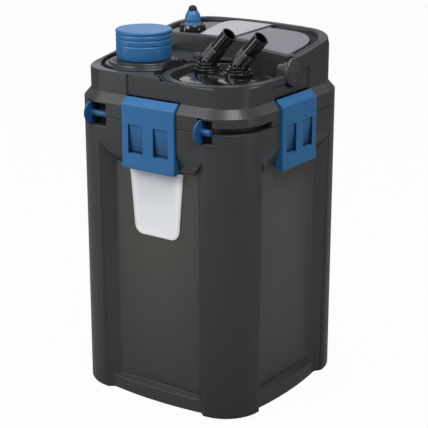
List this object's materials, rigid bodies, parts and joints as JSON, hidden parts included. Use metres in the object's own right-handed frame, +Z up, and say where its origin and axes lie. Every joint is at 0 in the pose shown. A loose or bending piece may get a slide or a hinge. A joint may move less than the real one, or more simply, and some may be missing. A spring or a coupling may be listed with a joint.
{
  "type": "canister filter",
  "caption": "Square aquarium canister filter with a clamped pump head, twist prefilter, swivel hose elbows, locking lever and heater.",
  "frame": {"origin": "centre of the base, in the plane the feet stand on", "axes": "+Z up, -Y is the badge side, +X is the lever hub side"},
  "size_m": [0.306, 0.316, 0.546],
  "materials": {
    "shell": "fine grained, satin",
    "blue": "satin moulded",
    "gloss_black": "gloss",
    "collar": "gloss",
    "gloss_grey": "high gloss",
    "button": "satin",
    "white": "satin",
    "rubber": "matt",
    "steel": "ground",
    "inner": "moulded",
    "foam": "open foam",
    "glass_tube": "clear",
    "magnet": "moulded"
  },
  "bodies": {
    "housing": {"canister": "shell", "feet": "rubber", "badge_plate": "white", "head_gasket": "rubber", "head_shell": "shell", "head_base": "inner", "cable_gland": "rubber", "clamp_pins": "steel", "prefilter_collar": "collar", "prefilter_tube": "inner", "lever_pins": "steel", "heater_base": "collar", "heater_gland": "rubber", "heater_tube": "glass_tube", "gloss_panel": "gloss_grey", "panel_rib": "shell", "priming_cylinder": "inner", "priming_spring": "steel", "motor_stator": "inner", "pump_casing": "inner", "impeller_shaft": "white", "shaft_bushes": "rubber", "impeller_cover": "inner", "inlet_duct": "inner", "outlet_duct": "inner", "basket_1": "inner", "media_1": "foam", "basket_2": "inner", "media_2": "foam", "basket_3": "inner", "media_3": "foam", "basket_4": "inner", "media_4": "foam"},
    "clamp_front": {"clamp_front": "blue"},
    "clamp_right": {"clamp_right": "blue"},
    "clamp_back": {"clamp_back": "blue"},
    "clamp_left": {"clamp_left": "blue"},
    "release_knob_right": {"release_knob_right": "blue"},
    "release_knob_left": {"release_knob_left": "blue"},
    "prefilter": {"prefilter_lid": "inner", "lid_seal": "rubber", "prefilter_core": "inner", "prefilter_foams": "foam"},
    "prefilter_knob": {"prefilter_knob": "blue"},
    "lever": {"locking_lever": "shell"},
    "hose_unit": {"hose_adapter": "gloss_black", "adapter_seals": "rubber"},
    "elbow_inlet": {"elbow_inlet": "gloss_black"},
    "elbow_outlet": {"elbow_outlet": "gloss_black"},
    "heater_dial": {"heater_dial": "blue"},
    "priming_button": {"priming_button": "button"},
    "impeller": {"impeller": "magnet"}
  },
  "joints": [
    {"name": "clamp_front_swing", "type": "hinge", "parent": "housing", "child": "clamp_front", "pos_m": [0, -0.1395, 0.44], "axis": [-1, 0, 0], "range_deg": [0, 100]},
    {"name": "clamp_right_swing", "type": "hinge", "parent": "housing", "child": "clamp_right", "pos_m": [0.1395, 0, 0.44], "axis": [0, -1, 0], "range_deg": [0, 100]},
    {"name": "clamp_back_swing", "type": "hinge", "parent": "housing", "child": "clamp_back", "pos_m": [0, 0.1395, 0.44], "axis": [1, 0, 0], "range_deg": [0, 100]},
    {"name": "clamp_left_swing", "type": "hinge", "parent": "housing", "child": "clamp_left", "pos_m": [-0.1395, 0, 0.44], "axis": [0, 1, 0], "range_deg": [0, 100]},
    {"name": "release_knob_right_turn", "type": "hinge", "parent": "housing", "child": "release_knob_right", "pos_m": [0.082, -0.146, 0.4205], "axis": [1, 0, 0], "range_deg": [0, 90]},
    {"name": "release_knob_left_turn", "type": "hinge", "parent": "housing", "child": "release_knob_left", "pos_m": [-0.1105, -0.141, 0.4205], "axis": [1, 0, 0], "range_deg": [0, 90]},
    {"name": "prefilter_lift", "type": "slide", "parent": "housing", "child": "prefilter", "axis": [0, 0, 1], "range_m": [0, 0.46]},
    {"name": "prefilter_knob_turn", "type": "hinge", "parent": "prefilter", "child": "prefilter_knob", "pos_m": [-0.0705, -0.065, 0.5], "axis": [0, 0, 1], "range_deg": [0, 90]},
    {"name": "lever_swing", "type": "hinge", "parent": "housing", "child": "lever", "pos_m": [0.055, 0, 0.483], "axis": [-1, 0, 0], "range_deg": [0, 80]},
    {"name": "hose_unit_lift", "type": "slide", "parent": "housing", "child": "hose_unit", "axis": [0, 0, 1], "range_m": [0, 0.01]},
    {"name": "elbow_inlet_swivel", "type": "hinge", "parent": "hose_unit", "child": "elbow_inlet", "pos_m": [0.027, -0.046, 0.4835], "axis": [0, 0, 1], "range_deg": [-60, 60]},
    {"name": "elbow_outlet_swivel", "type": "hinge", "parent": "hose_unit", "child": "elbow_outlet", "pos_m": [0.079, -0.046, 0.4835], "axis": [0, 0, 1], "range_deg": [-60, 60]},
    {"name": "heater_dial_turn", "type": "hinge", "parent": "housing", "child": "heater_dial", "pos_m": [-0.081, 0.068, 0.52], "axis": [0, 0, 1], "range_deg": [0, 270]},
    {"name": "priming_press", "type": "slide", "parent": "housing", "child": "priming_button", "axis": [0, 0, 1], "range_m": [-0.008, 0], "stiffness_N_per_m": 400, "springref_m": 0.006, "deforming": ["priming_spring"]},
    {"name": "impeller_spin", "type": "hinge", "parent": "housing", "child": "impeller", "pos_m": [-0.008, 0.085, 0.44], "axis": [0, 0, 1], "continuous": true}
  ],
  "couplings": [
    {"joint": "hose_unit_lift", "follows": "lever_swing", "m_per_rad": 0.007162}
  ]
}
